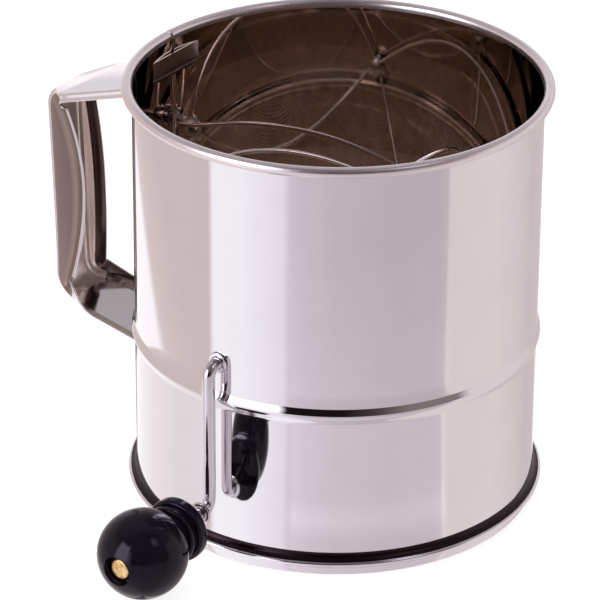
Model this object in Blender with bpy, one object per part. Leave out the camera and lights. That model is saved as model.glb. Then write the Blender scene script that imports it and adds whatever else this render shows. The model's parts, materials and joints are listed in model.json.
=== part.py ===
"""Hand flour sifter: a steel can with a strap handle, a bowl of wire mesh and a crank that turns
four wire hoops over the mesh.

Units are metres and +Z is up. The can stands on z = 0. The handle points to -X and the crank to -Y.
The origin is the bottom centre of the whole object's box, so the can's own axis lies off it.
"""
import math

import bmesh
import bpy
from mathutils import Vector

# Can
HEIGHT = 0.170
BODY_RADIUS = 0.078
WALL = 0.0006
RIM_RADIUS = 0.0817            # outside of the rolled rim
RIM_TUBE = 0.0021
BEAD_HEIGHT = 0.0675           # middle of the pressed bead
BEAD_HALF = 0.004
BEAD_BULGE = 0.0012
FLANGE_RADIUS = 0.0813         # outside of the flared bottom edge
FLANGE_UNDERSIDE = 0.0048
FLANGE_ROLL = 0.0009
BODY_STEPS = 64
GAP = 0.0003                   # between pieces that rest on each other

# Base ring
BASE_TOP = 0.016
BASE_STEP = 0.0044             # height of the part that shows below the flange
BASE_THICKNESS = 0.0011
BASE_LIP = 0.0013              # how far the visible part steps outwards
BASE_ROUND = 0.0006

# Shaft, crank and agitator
SHAFT_HEIGHT = 0.083
ROD_RADIUS = 0.0025
BORE_RADIUS = 0.0026           # running fit on the rod
ARM_LENGTH = 0.059
ARM_OFFSET = 0.006             # from the wall to the arm's middle
BEND_RADIUS = 0.0042
ROD_SIDES = 14
BORE_SIDES = 20
HOOP_RADIUS = 0.070
HOOP_WIRE = 0.001
HOOP_SIDES = 7
HOOP_STEPS = 24
HOOP_ANGLES = (60, 150, 240, 330)   # degrees from straight up, towards the handle
FERRULE_RADIUS = 0.0042
FERRULE_OUTER_END = 0.0715     # distance from the can's axis
FERRULE_INNER_END = 0.0615
SHAFT_INNER_END = 0.0630

# Eyelets in the wall
EYELET_TUBE = 0.0033
EYELET_FLANGE = 0.0042
EYELET_SHEET = 0.0006

# Screen
SCREEN_RADIUS = 0.0725         # inside of the bowl
SCREEN_SHEET = 0.0005
SCREEN_RIM_Z = 0.0680          # underside of the bowl's flat rim
SCREEN_RIM_RADIUS = 0.0753
SCREEN_STEPS = 48
RING_RADIUS = 0.0769           # outside of the rings that hold the screen
RING_SHEET = 0.0008
BAND_TUBE = 0.0012             # rolled inner edge of the upper ring
BAND_TUBE_RADIUS = 0.0732
CLAMP_INNER = 0.0719
CLAMP_SKIRT = 0.0075

# Knob, measured outwards from the arm's middle
KNOB_FACE = 0.0175
KNOB_BALL = 0.0171
KNOB_CENTRE = 0.0418
KNOB_RING_1 = 0.0125
KNOB_RING_2 = 0.0112
KNOB_NECK = 0.0098
RECESS_RADIUS = 0.0058
RECESS_FLOOR = 0.0515
SPINDLE_END = 0.0548
STOP_RADIUS = 0.0044
WASHER_RADIUS = 0.0052
CAP_RADIUS = 0.0044
PIN_HEAD = 0.0042
KNOB_STEPS = 26
SMALL_STEPS = 20

# Handle: the outer face of the strap, as distance from the wall and height
HANDLE_TOP = 0.1531            # where the top leg meets the wall
HANDLE_TOP_SLOPE = 0.31
HANDLE_BOTTOM = 0.0375
HANDLE_BOTTOM_SLOPE = 0.20
HANDLE_REACH_TOP = 0.0562      # grip's distance from the wall at its upper end
HANDLE_REACH_BOTTOM = 0.0520
HANDLE_SHEET = 0.0009
HANDLE_FOOT = 0.009
GRIP_HALF_WIDTH = 0.011
GRIP_FLANGE = 0.0150           # depth of the channel at mid grip
TOP_FALL = 0.45                # share of that depth lost at the grip's upper end
BOTTOM_FALL = 0.30             # and at its lower end
GRIP_LIP = 0.0013              # how far the flanges' free edges turn out
GRIP_LEAN = 0.0055             # how far the flanges lean in at mid grip
END_LEAN = 0.0020              # and at the grip's ends
TOP_LEG_HALF_WIDTH = 0.0200
TOP_LEG_FLANGE = 0.0034
BOTTOM_LEG_HALF_WIDTH = 0.013
BOTTOM_LEG_FLANGE = 0.0030
BOTTOM_LEG_SPLAY = 0.005       # how far the lower leg's flanges lean out
CORNER_RADIUS = 0.009
FOOT_BEND = 0.0022
GRIP_HALF_LENGTH = 0.040

BODY_INSIDE = BODY_RADIUS - WALL
SHAFT_OUT = BODY_RADIUS + ARM_OFFSET
KNOB_END = SHAFT_OUT + KNOB_CENTRE + math.sqrt(KNOB_BALL ** 2 - RECESS_RADIUS ** 2)
WIDEST = max(RIM_RADIUS, FLANGE_RADIUS)
HANDLE_REACH = 0.05532         # how far the rounded grip really stands off the wall
AXIS_X = (BODY_RADIUS + HANDLE_REACH - WIDEST) / 2
AXIS_Y = (KNOB_END - WIDEST) / 2


def clear_scene():
    for item in list(bpy.data.objects):
        bpy.data.objects.remove(item, do_unlink=True)


def make_material(name, colour, metallic, roughness):
    material = bpy.data.materials.new(name)
    material.use_nodes = True
    shader = material.node_tree.nodes["Principled BSDF"]
    shader.inputs["Base Color"].default_value = (*colour, 1)
    shader.inputs["Metallic"].default_value = metallic
    shader.inputs["Roughness"].default_value = roughness
    material.diffuse_color = (*colour, 1)
    return material


def make_empty(name, location, parent=None):
    empty = bpy.data.objects.new(name, None)
    empty.location = location
    empty.parent = parent
    bpy.context.collection.objects.link(empty)
    return empty


def add_object(name, shape, material, parent):
    bmesh.ops.remove_doubles(shape, verts=shape.verts, dist=1e-6)
    bmesh.ops.recalc_face_normals(shape, faces=shape.faces)
    mesh = bpy.data.meshes.new(name)
    shape.to_mesh(mesh)
    shape.free()
    mesh.materials.append(material)
    mesh.shade_smooth()
    mesh.set_sharp_from_angle(angle=math.radians(35))
    item = bpy.data.objects.new(name, mesh)
    item.parent = parent
    bpy.context.collection.objects.link(item)
    return item


def arc(centre, radius, start, end, steps):
    """Points on a circle in a plane, from one angle to another in degrees."""
    angles = [math.radians(start + (end - start) * i / steps) for i in range(steps + 1)]
    return [(centre[0] + radius * math.cos(a), centre[1] + radius * math.sin(a)) for a in angles]


def revolve(profile, steps, along="Z"):
    """Closed profile of (radius, height) points, spun into a solid about Z or Y."""
    shape = bmesh.new()
    place = (lambda r, h: (r, 0, h)) if along == "Z" else (lambda r, h: (r, h, 0))
    axis = (0, 0, 1) if along == "Z" else (0, 1, 0)
    verts = [shape.verts.new(place(r, h)) for r, h in profile]
    edges = [shape.edges.new((verts[i - 1], verts[i])) for i in range(len(verts))
             if profile[i - 1][0] > 0 or profile[i][0] > 0]
    bmesh.ops.spin(shape, geom=edges, cent=(0, 0, 0), axis=axis, angle=math.tau, steps=steps,
                   use_merge=True)
    return shape


def loft(sections):
    """Rings of points, joined one to the next and closed at both ends."""
    shape = bmesh.new()
    rings = [[shape.verts.new(point) for point in section] for section in sections]
    count = len(rings[0])
    for ring, following in zip(rings, rings[1:]):
        for i in range(count):
            j = (i + 1) % count
            shape.faces.new((ring[i], ring[j], following[j], following[i]))
    shape.faces.new(rings[0])
    shape.faces.new(rings[-1])
    return shape


def tangents(points):
    """Unit direction of a plane path at each of its points."""
    result = []
    for i in range(len(points)):
        before = Vector(points[max(i - 1, 0)])
        after = Vector(points[min(i + 1, len(points) - 1)])
        result.append((after - before).normalized())
    return result


def wire(points, plane, radius, sides):
    """Round wire along a plane path; plane holds the two 3-D directions of the path's axes."""
    first, second = plane
    normal = first.cross(second)
    sections = []
    for point, direction in zip(points, tangents(points)):
        centre = first * point[0] + second * point[1]
        sideways = first * -direction[1] + second * direction[0]
        sections.append([
            centre + radius * (math.cos(a) * sideways + math.sin(a) * normal)
            for a in (math.tau * i / sides for i in range(sides))])
    return loft(sections)


def rounded_path(corners, radii, steps=5):
    """Corner points of a plane path, each inner corner replaced by an arc of its radius."""
    path = [Vector(corners[0])]
    for i, radius in enumerate(radii, start=1):
        corner = Vector(corners[i])
        to_last = (Vector(corners[i - 1]) - corner).normalized()
        to_next = (Vector(corners[i + 1]) - corner).normalized()
        half = to_last.angle(to_next) / 2
        centre = corner + (to_last + to_next).normalized() * radius / math.sin(half)
        start = corner + to_last * radius / math.tan(half) - centre
        end = corner + to_next * radius / math.tan(half) - centre
        start_angle = math.degrees(math.atan2(start[1], start[0]))
        turn = math.degrees(start.angle_signed(end))
        path += [Vector(point) for point in arc(centre, radius, start_angle, start_angle - turn, steps)]
    path.append(Vector(corners[-1]))
    return path


def bead_points(radius, rising):
    """The pressed bead on a wall of this radius, as a raised cosine."""
    count = 4
    points = []
    for i in range(count + 1):
        z = BEAD_HEIGHT - BEAD_HALF + 2 * BEAD_HALF * i / count
        swell = (1 + math.cos(math.pi * (z - BEAD_HEIGHT) / BEAD_HALF)) / 2
        points.append((radius + BEAD_BULGE * swell, z))
    return points if rising else points[::-1]


def body_profile():
    roll = (FLANGE_RADIUS - FLANGE_ROLL, FLANGE_UNDERSIDE + FLANGE_ROLL)
    flare = roll[0] - BODY_RADIUS
    flare_centre = (roll[0], roll[1] + FLANGE_ROLL + flare)
    rim = (RIM_RADIUS - RIM_TUBE, HEIGHT - RIM_TUBE)
    rim_start = -math.degrees(math.acos((BODY_RADIUS - rim[0]) / RIM_TUBE))
    profile = [(BODY_INSIDE, FLANGE_UNDERSIDE)]
    profile += arc(roll, FLANGE_ROLL, -90, 90, 4)
    profile += arc(flare_centre, flare, 270, 180, 3)[1:]
    profile += bead_points(BODY_RADIUS, rising=True)
    profile += arc(rim, RIM_TUBE, rim_start, 0, 3) + arc(rim, RIM_TUBE, 0, 180, 4)[1:]
    profile.append((BODY_INSIDE, rim[1] - RIM_TUBE / 2))
    profile += bead_points(BODY_INSIDE, rising=False)
    return profile


def make_body(material, parent):
    """The can, with a round hole at each end of the crank's axis."""
    body = add_object("body_shell", revolve(body_profile(), BODY_STEPS), material, parent)
    hole = EYELET_TUBE + GAP
    length = 2 * BODY_RADIUS + 0.01
    drill = bmesh.new()
    bmesh.ops.create_cone(drill, cap_ends=True, segments=BORE_SIDES, radius1=hole, radius2=hole,
                          depth=length)
    cutter = add_object("hole_cutter", drill, material, parent)
    cutter.location = (0, 0, SHAFT_HEIGHT)
    cutter.rotation_euler = (math.pi / 2, 0, 0)
    cutter.hide_render = True
    cutter.display_type = "WIRE"
    cut = body.modifiers.new("eyelet_holes", "BOOLEAN")
    cut.operation = "DIFFERENCE"
    cut.solver = "EXACT"
    cut.object = cutter


def make_base_ring(material, parent):
    outer = BODY_INSIDE - GAP
    inner = outer - BASE_THICKNESS
    lip = outer + BASE_LIP
    profile = [(inner, 0), (lip - BASE_ROUND, 0)]
    profile += [(lip, BASE_ROUND), (lip, BASE_STEP - BASE_ROUND), (lip - BASE_ROUND, BASE_STEP)]
    profile += [(outer, BASE_STEP), (outer, BASE_TOP), (inner, BASE_TOP)]
    add_object("base_ring", revolve(profile, BODY_STEPS), material, parent)


def make_screen(mesh_steel, ring_steel, parent):
    """The mesh bowl with its flat rim, and the two rings that hold the rim."""
    rim_top = SCREEN_RIM_Z + SCREEN_SHEET
    outside = SCREEN_RADIUS + SCREEN_SHEET
    centre = (0, SHAFT_HEIGHT)
    top_angle = -math.degrees(math.asin((SHAFT_HEIGHT - rim_top) / SCREEN_RADIUS))
    low_angle = -math.degrees(math.asin((SHAFT_HEIGHT - SCREEN_RIM_Z) / outside))
    bowl = [(0, SHAFT_HEIGHT - SCREEN_RADIUS)] + arc(centre, SCREEN_RADIUS, -90, top_angle, 6)[1:]
    bowl += [(SCREEN_RIM_RADIUS, rim_top), (SCREEN_RIM_RADIUS, SCREEN_RIM_Z)]
    bowl += arc(centre, outside, low_angle, -90, 6)[:-1] + [(0, SHAFT_HEIGHT - outside)]
    add_object("screen_mesh", revolve(bowl, SCREEN_STEPS), mesh_steel, parent)

    band_z = rim_top + GAP
    tube = (BAND_TUBE_RADIUS, band_z + BAND_TUBE)
    meet = math.degrees(math.asin((BAND_TUBE - RING_SHEET) / BAND_TUBE))
    band = arc(tube, BAND_TUBE, -meet, 270, 6)
    band += [(RING_RADIUS, band_z), (RING_RADIUS, band_z + RING_SHEET)]
    add_object("screen_band", revolve(band, BODY_STEPS), ring_steel, parent)

    clamp_z = SCREEN_RIM_Z - GAP
    skirt = RING_RADIUS - RING_SHEET
    clamp = [(CLAMP_INNER, clamp_z), (CLAMP_INNER, clamp_z - RING_SHEET), (skirt, clamp_z - RING_SHEET)]
    clamp += [(skirt, clamp_z - CLAMP_SKIRT), (RING_RADIUS, clamp_z - CLAMP_SKIRT)]
    clamp += [(RING_RADIUS, clamp_z)]
    add_object("screen_clamp", revolve(clamp, BODY_STEPS), ring_steel, parent)


def make_eyelet(name, side, material, parent):
    """Flanged bush through the wall. side is -1 for the crank's wall and 1 for the far one."""
    outside = BODY_RADIUS + GAP
    inside = BODY_INSIDE - GAP
    sag = BODY_INSIDE - math.sqrt(BODY_INSIDE ** 2 - EYELET_FLANGE ** 2)
    profile = [(BORE_RADIUS, inside - sag - EYELET_SHEET), (EYELET_FLANGE, inside - sag - EYELET_SHEET)]
    profile += [(EYELET_FLANGE, inside - sag), (EYELET_TUBE, inside - sag), (EYELET_TUBE, outside)]
    profile += [(EYELET_FLANGE, outside), (EYELET_FLANGE, outside + EYELET_SHEET / 2)]
    profile += [(EYELET_FLANGE - EYELET_SHEET, outside + EYELET_SHEET), (BORE_RADIUS, outside + EYELET_SHEET)]
    shape = revolve([(r, side * y) for r, y in profile], BORE_SIDES, along="Y")
    item = add_object(name, shape, material, parent)
    item.location = (0, 0, SHAFT_HEIGHT)


def handle_path():
    """Outer face of the strap from the lower foot to the upper one, as (distance, height)."""
    wall = GAP + HANDLE_SHEET
    slant = (HANDLE_REACH_TOP - HANDLE_REACH_BOTTOM) / (HANDLE_TOP - HANDLE_BOTTOM)

    def grip_corner(height, slope):
        reach = HANDLE_REACH_BOTTOM + slant * (height - HANDLE_BOTTOM)
        z = height + slope * reach
        return (HANDLE_REACH_BOTTOM + slant * (z - HANDLE_BOTTOM), z)

    corners = [
        (wall, HANDLE_BOTTOM - HANDLE_FOOT), (wall, HANDLE_BOTTOM),
        grip_corner(HANDLE_BOTTOM, HANDLE_BOTTOM_SLOPE),
        grip_corner(HANDLE_TOP, -HANDLE_TOP_SLOPE),
        (wall, HANDLE_TOP), (wall, HANDLE_TOP + HANDLE_FOOT)]
    return corners


def subdivide(path, longest):
    """Adds points on the long straight stretches of a path."""
    result = [path[0]]
    for point in path[1:]:
        count = math.ceil((point - result[-1]).length / longest)
        start = result[-1]
        result += [start.lerp(point, i / count) for i in range(1, count + 1)]
    return result


def smooth_step(value):
    value = min(max(value, 0), 1)
    return value * value * (3 - 2 * value)


def strap_section(half, flange, lean):
    """Points (across, depth) of a thin C: its outer side, then its inner side back."""
    sheet = HANDLE_SHEET
    edge = half - lean
    root = sheet + min(0.6 * sheet, 0.5 * (flange - sheet))
    lip = min(GRIP_LIP, 0.3 * (flange - sheet))
    outer = [(-edge - lip, flange), (-edge, flange - 1.6 * lip)]
    outer += [(-half, sheet / 2), (-half + sheet / 2, 0), (-half / 2, 0), (0, 0)]
    inner = [(-edge + 0.7 * sheet, flange), (-half + sheet, root), (-half + 1.6 * sheet, sheet)]
    inner += [(-half / 2, sheet), (0, sheet)]
    left = outer + [(-x, d) for x, d in outer[-2::-1]]
    right = inner + [(-x, d) for x, d in inner[-2::-1]]
    return left + right[::-1]


def strap_shape(distance, z):
    """Half width, flange depth and inward lean of the strap at a point of its path."""
    off_wall = smooth_step((distance - 2 * HANDLE_SHEET) / 0.006)
    middle = (HANDLE_TOP + HANDLE_BOTTOM) / 2
    if z > middle:
        leg_half, leg_flange, splay = TOP_LEG_HALF_WIDTH, TOP_LEG_FLANGE, 0
        start, fall = 0.68, TOP_FALL
    else:
        leg_half, leg_flange, splay = BOTTOM_LEG_HALF_WIDTH, BOTTOM_LEG_FLANGE, BOTTOM_LEG_SPLAY
        start, fall = 0.50, BOTTOM_FALL
    grip = smooth_step((distance / HANDLE_REACH_TOP - start) / (0.95 - start))
    leg_half += splay * (1 - off_wall)
    leg_flange = HANDLE_SHEET + (leg_flange - HANDLE_SHEET) * off_wall
    along = min(abs(z - middle) / GRIP_HALF_LENGTH, 1)
    grip_flange = GRIP_FLANGE * (1 - fall * along ** 2)
    half = leg_half + (GRIP_HALF_WIDTH - leg_half) * grip
    flange = leg_flange + (grip_flange - leg_flange) * grip
    lean = (GRIP_LEAN + (END_LEAN - GRIP_LEAN) * along ** 2) * grip - splay * off_wall * (1 - grip)
    return half, flange, lean, off_wall


def make_handle(material, parent):
    """Strap lofted along its path; its feet follow the can's curve."""
    radii = (FOOT_BEND, CORNER_RADIUS, CORNER_RADIUS, FOOT_BEND)
    path = subdivide(rounded_path(handle_path(), radii), 0.012)
    sections = []
    for (distance, z), direction in zip(path, tangents(path)):
        half, flange, lean, off_wall = strap_shape(distance, z)
        inward = (-direction[1], direction[0])
        section = []
        for across, depth in strap_section(half, flange, lean):
            curve = BODY_RADIUS - math.sqrt(BODY_RADIUS ** 2 - across ** 2)
            reach = distance + inward[0] * depth - curve * (1 - off_wall)
            section.append((-(BODY_RADIUS + reach), across, z + inward[1] * depth))
        sections.append(section)
    add_object("handle", loft(sections), material, parent)


def make_crank_rod(material, parent):
    """Shaft, arm and spindle, bent from one wire. Its origin is on the shaft's axis."""
    corners = [(-SHAFT_INNER_END, 0), (-SHAFT_OUT, 0), (-SHAFT_OUT, -ARM_LENGTH),
               (-SHAFT_OUT - SPINDLE_END, -ARM_LENGTH)]
    path = rounded_path(corners, (BEND_RADIUS, BEND_RADIUS))
    plane = (Vector((0, 1, 0)), Vector((0, 0, 1)))
    add_object("crank_rod", wire(path, plane, ROD_RADIUS, ROD_SIDES), material, parent)


def make_ferrule(name, side, material, parent):
    """Blind sleeve over the end of a shaft; side is -1 for the crank's end."""
    bore = ROD_RADIUS + GAP
    floor = SHAFT_INNER_END - GAP
    chamfer = 0.0006
    profile = [(bore, FERRULE_OUTER_END), (FERRULE_RADIUS - chamfer, FERRULE_OUTER_END)]
    profile += [(FERRULE_RADIUS, FERRULE_OUTER_END - chamfer), (FERRULE_RADIUS, FERRULE_INNER_END + chamfer)]
    profile += [(FERRULE_RADIUS - chamfer, FERRULE_INNER_END), (0, FERRULE_INNER_END), (0, floor), (bore, floor)]
    shape = revolve([(r, side * y) for r, y in profile], SMALL_STEPS, along="Y")
    add_object(name, shape, material, parent)


def make_pivot_pin(material, parent):
    """Pin through the far eyelet, with a domed head outside."""
    head_face = BODY_RADIUS + 2 * GAP + EYELET_SHEET
    dome = 0.0013
    profile = [(0, SHAFT_INNER_END), (ROD_RADIUS, SHAFT_INNER_END), (ROD_RADIUS, head_face)]
    profile += [(PIN_HEAD, head_face), (PIN_HEAD, head_face + dome * 0.35)]
    profile += [(PIN_HEAD * 0.7, head_face + dome * 0.8), (0, head_face + dome)]
    add_object("pivot_pin", revolve(profile, ROD_SIDES, along="Y"), material, parent)


def make_agitator_wires(material, parent):
    """Half hoops about the shaft, from one ferrule to the other."""
    clear = math.degrees(math.asin((FERRULE_RADIUS + GAP) / HOOP_RADIUS))
    path = arc((0, 0), HOOP_RADIUS, clear, 180 - clear, HOOP_STEPS)
    for number, angle in enumerate(HOOP_ANGLES, start=1):
        turn = math.radians(angle)
        outwards = Vector((-math.sin(turn), 0, math.cos(turn)))
        shape = wire(path, (Vector((0, 1, 0)), outwards), HOOP_WIRE, HOOP_SIDES)
        add_object(f"agitator_wire_{number}", shape, material, parent)


def ring_on_spindle(name, start, length, outside, material, parent):
    """Plain ring round the spindle, measured outwards from the arm's middle."""
    bore = ROD_RADIUS + GAP
    profile = [(bore, -start), (outside, -start), (outside, -start - length), (bore, -start - length)]
    item = add_object(name, revolve(profile, SMALL_STEPS, along="Y"), material, parent)
    item.location = (0, -SHAFT_OUT, -ARM_LENGTH)


def make_spindle_parts(steel, brass, parent):
    ring_on_spindle("spindle_stop", 0.0052, 0.0014, STOP_RADIUS, steel, parent)
    washer_start = RECESS_FLOOR + GAP
    washer_sheet = 0.0007
    ring_on_spindle("spindle_washer", washer_start, washer_sheet, WASHER_RADIUS, steel, parent)
    bore = ROD_RADIUS + GAP
    cap_start = washer_start + washer_sheet + GAP
    cap_floor = SPINDLE_END + GAP
    cap_end = cap_floor + 0.0011
    profile = [(bore, -cap_start), (CAP_RADIUS, -cap_start), (CAP_RADIUS, -cap_end + 0.0006)]
    profile += [(CAP_RADIUS - 0.0008, -cap_end), (0, -cap_end), (0, -cap_floor), (bore, -cap_floor)]
    cap = add_object("spindle_cap", revolve(profile, SMALL_STEPS, along="Y"), brass, parent)
    cap.location = (0, -SHAFT_OUT, -ARM_LENGTH)


def make_knob(material, parent):
    """Ball with a neck of two rings, bored through and counterbored at its outer end."""
    round_edge = 0.0012
    ring_1_end = 0.0226
    ring_2_start = 0.0238
    ring_2_end = 0.0264
    groove = 0.0102
    start_angle = 180 - math.degrees(math.asin(KNOB_NECK / KNOB_BALL))
    end_angle = math.degrees(math.asin(RECESS_RADIUS / KNOB_BALL))
    profile = [(BORE_RADIUS, KNOB_FACE), (KNOB_RING_1 - round_edge, KNOB_FACE)]
    profile += [(KNOB_RING_1, KNOB_FACE + round_edge), (KNOB_RING_1, ring_1_end - round_edge)]
    profile += [(groove, ring_1_end), (groove, ring_2_start - 0.0005), (KNOB_RING_2, ring_2_start + round_edge)]
    profile += [(KNOB_RING_2, ring_2_end - round_edge), (KNOB_NECK, ring_2_end)]
    profile += [(r, y) for y, r in arc((KNOB_CENTRE, 0), KNOB_BALL, start_angle, end_angle, 12)]
    profile += [(RECESS_RADIUS, RECESS_FLOOR), (BORE_RADIUS, RECESS_FLOOR)]
    add_object("knob", revolve([(r, -y) for r, y in profile], KNOB_STEPS, along="Y"), material, parent)


def main():
    clear_scene()
    polished = make_material("polished_steel", (0.78, 0.76, 0.76), 1.0, 0.08)
    wire_steel = make_material("wire_steel", (0.62, 0.61, 0.62), 1.0, 0.18)
    mesh_steel = make_material("mesh_steel", (0.45, 0.42, 0.38), 1.0, 0.45)
    brass = make_material("brass", (0.86, 0.62, 0.30), 1.0, 0.25)
    black_plastic = make_material("black_plastic", (0.012, 0.011, 0.014), 0.0, 0.12)

    axis = make_empty("sifter_axis", (AXIS_X, AXIS_Y, 0))
    crank = make_empty("crank_pivot", (0, 0, SHAFT_HEIGHT), axis)
    spindle = make_empty("knob_pivot", (0, -SHAFT_OUT, -ARM_LENGTH), crank)

    make_body(polished, axis)
    make_base_ring(polished, axis)
    make_screen(mesh_steel, polished, axis)
    make_eyelet("crank_eyelet", -1, polished, axis)
    make_eyelet("pivot_eyelet", 1, polished, axis)
    make_handle(polished, axis)

    make_crank_rod(wire_steel, crank)
    make_ferrule("crank_ferrule", -1, wire_steel, crank)
    make_ferrule("pivot_ferrule", 1, wire_steel, crank)
    make_pivot_pin(wire_steel, crank)
    make_agitator_wires(wire_steel, crank)
    make_spindle_parts(wire_steel, brass, crank)
    make_knob(black_plastic, spindle)


main()
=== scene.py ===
"""Looks of a hand flour sifter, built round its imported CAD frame.

Each piece is made again here in fine steps, from sizes that follow the frame, and rides on the CAD
body it belongs to. Units are metres and +Z is up. The handle points to -X and the crank to -Y.
"""

import json
import math

import bmesh
import bpy
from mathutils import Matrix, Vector


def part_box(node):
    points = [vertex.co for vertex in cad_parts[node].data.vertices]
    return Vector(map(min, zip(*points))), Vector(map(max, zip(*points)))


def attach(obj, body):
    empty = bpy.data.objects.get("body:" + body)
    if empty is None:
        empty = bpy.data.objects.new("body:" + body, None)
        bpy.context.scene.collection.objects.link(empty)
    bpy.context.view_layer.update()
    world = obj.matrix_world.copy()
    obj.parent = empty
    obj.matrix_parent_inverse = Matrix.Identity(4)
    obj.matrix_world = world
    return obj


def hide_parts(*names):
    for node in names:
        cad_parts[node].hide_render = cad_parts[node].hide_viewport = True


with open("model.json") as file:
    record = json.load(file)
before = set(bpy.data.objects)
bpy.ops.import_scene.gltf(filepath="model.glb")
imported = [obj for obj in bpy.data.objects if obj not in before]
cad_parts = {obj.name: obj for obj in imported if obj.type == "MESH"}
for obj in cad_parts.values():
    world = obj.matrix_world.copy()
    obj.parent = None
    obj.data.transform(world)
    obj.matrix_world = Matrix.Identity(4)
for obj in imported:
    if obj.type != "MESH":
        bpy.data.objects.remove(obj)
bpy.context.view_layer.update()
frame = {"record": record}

# Driving sizes, read from the frame
joint_places = {joint["name"]: Vector(joint["pos_m"]) for joint in frame["record"]["behaviour"]["joints"]}
screen_low, screen_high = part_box("screen_mesh")
body_low, body_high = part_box("body_shell")
band_low, band_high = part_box("screen_band")
ring_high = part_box("base_ring")[1]
AXIS = Vector(((screen_low.x + screen_high.x) / 2, (screen_low.y + screen_high.y) / 2, 0))
HEIGHT = body_high.z
RIM_RADIUS = (body_high.x - body_low.x) / 2
SHAFT_HEIGHT = joint_places["crank"].z
BODY_RADIUS = AXIS.y - joint_places["crank"].y
ARM_LENGTH = SHAFT_HEIGHT - joint_places["knob"].z
RING_RADIUS = (band_high.x - band_low.x) / 2
SCREEN_RIM_RADIUS = (screen_high.x - screen_low.x) / 2

# Can
WALL = 0.0006
BODY_INSIDE = BODY_RADIUS - WALL
RIM_TUBE = 0.0021
BEAD_HEIGHT = 0.0675
BEAD_HALF = 0.004
BEAD_BULGE = 0.0012
FLANGE_RADIUS = 0.0813
FLANGE_UNDERSIDE = body_low.z
FLANGE_ROLL = 0.0009
FLARE_HEIGHT = 0.0029
SEAM_WIDTH = 0.0016
SEAM_DEPTH = 0.0004
SEAM_NICK = 0.35               # share of the rolled rim's tube that the seam pinches in
WALL_LEVELS = (0.0765, 0.0895, 0.115, 0.140)
GAP = 0.0003                   # between pieces that the real thing presses together
BASE_TOP = ring_high.z
BASE_STEP = 0.0044
BASE_THICKNESS = 0.0011
BASE_LIP = 0.0013

# Screen
SCREEN_SHEET = 0.0005
SCREEN_RADIUS = SHAFT_HEIGHT - screen_low.z - SCREEN_SHEET
SCREEN_RIM_Z = screen_high.z - SCREEN_SHEET
SCREEN_TOP = SCREEN_RIM_Z + SCREEN_SHEET
SCREEN_RIM_ANGLE = math.acos((SHAFT_HEIGHT - SCREEN_RIM_Z - SCREEN_SHEET) / SCREEN_RADIUS)
RING_SHEET = 0.0008
BAND_TUBE = 0.0012
BAND_TUBE_RADIUS = 0.0732
CLAMP_INNER = 0.0719
CLAMP_SKIRT = 0.0075
MESH_PITCH = 0.0018
MESH_WIRE = 0.00021            # radius
MESH_RISE = 0.95               # how far a wire bends over another, in wire radii
MESH_MARGIN = 0.004            # angle left free below the folded edge
MESH_FOLD = 0.0006

# Crank and agitator
ARM_OFFSET = 0.006
SHAFT_OUT = BODY_RADIUS + ARM_OFFSET
ROD_RADIUS = 0.00245
ROD_BORE = ROD_RADIUS + GAP
ROD_SIDES = 28
BEND_RADIUS = 0.0042
SHAFT_INNER_END = 0.0630
SPINDLE_END = 0.0548
HOOP_RADIUS = 0.070
HOOP_WIRE = 0.00098            # radius
HOOP_STEPS = 96
HOOP_SIDES = 14
HOOP_ANGLES = (60, 150, 240, 330)
FERRULE_RADIUS = 0.0042
FERRULE_INNER_END = 0.0615
FERRULE_OUTER_END = 0.0715
BINDING_WIRE = 0.0007          # radius
BINDING_RADIUS = FERRULE_RADIUS + BINDING_WIRE * 0.9
BINDING_START = FERRULE_INNER_END + 0.0016
BINDING_TURNS = 4
BINDING_STEPS = 24             # steps in one turn
BINDING_SIDES = 8
EYELET_TUBE = 0.0033
EYELET_FLANGE = 0.0042
EYELET_SHEET = 0.0006
PIN_HEAD = 0.0042
PIN_EDGE = 0.0004
PIN_DOME = 0.0013
SHAFT_PLACE = AXIS + Vector((0, 0, SHAFT_HEIGHT))

# Knob, measured outwards from the arm's middle
KNOB_FACE = 0.0175
KNOB_BALL = 0.0171
KNOB_CENTRE = AXIS.y - joint_places["knob"].y - SHAFT_OUT
KNOB_RING_1 = 0.0125
KNOB_RING_1_END = 0.0226
KNOB_RING_2 = 0.0112
KNOB_RING_2_START = 0.0238
KNOB_RING_2_END = 0.0264
KNOB_GROOVE = 0.0102
KNOB_NECK = 0.0098
BORE_RADIUS = 0.0026
RECESS_RADIUS = 0.0058
RECESS_WALL = RECESS_RADIUS - 0.0003
RECESS_EASE = 0.0004
RECESS_FLOOR = 0.0515
KNOB_STEPS = 96                # round the knob
BALL_STEPS = 60                # along the ball's arc
STOP_RADIUS = 0.0044
STOP_START = 0.0052
STOP_END = 0.0066
WASHER_RADIUS = 0.0052
WASHER_START = 0.0518
WASHER_END = 0.0525
CAP_RADIUS = 0.0044
CAP_START = 0.0528
CAP_END = 0.0562
SPINDLE_PLACE = AXIS + Vector((0, -SHAFT_OUT, SHAFT_HEIGHT - ARM_LENGTH))

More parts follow.
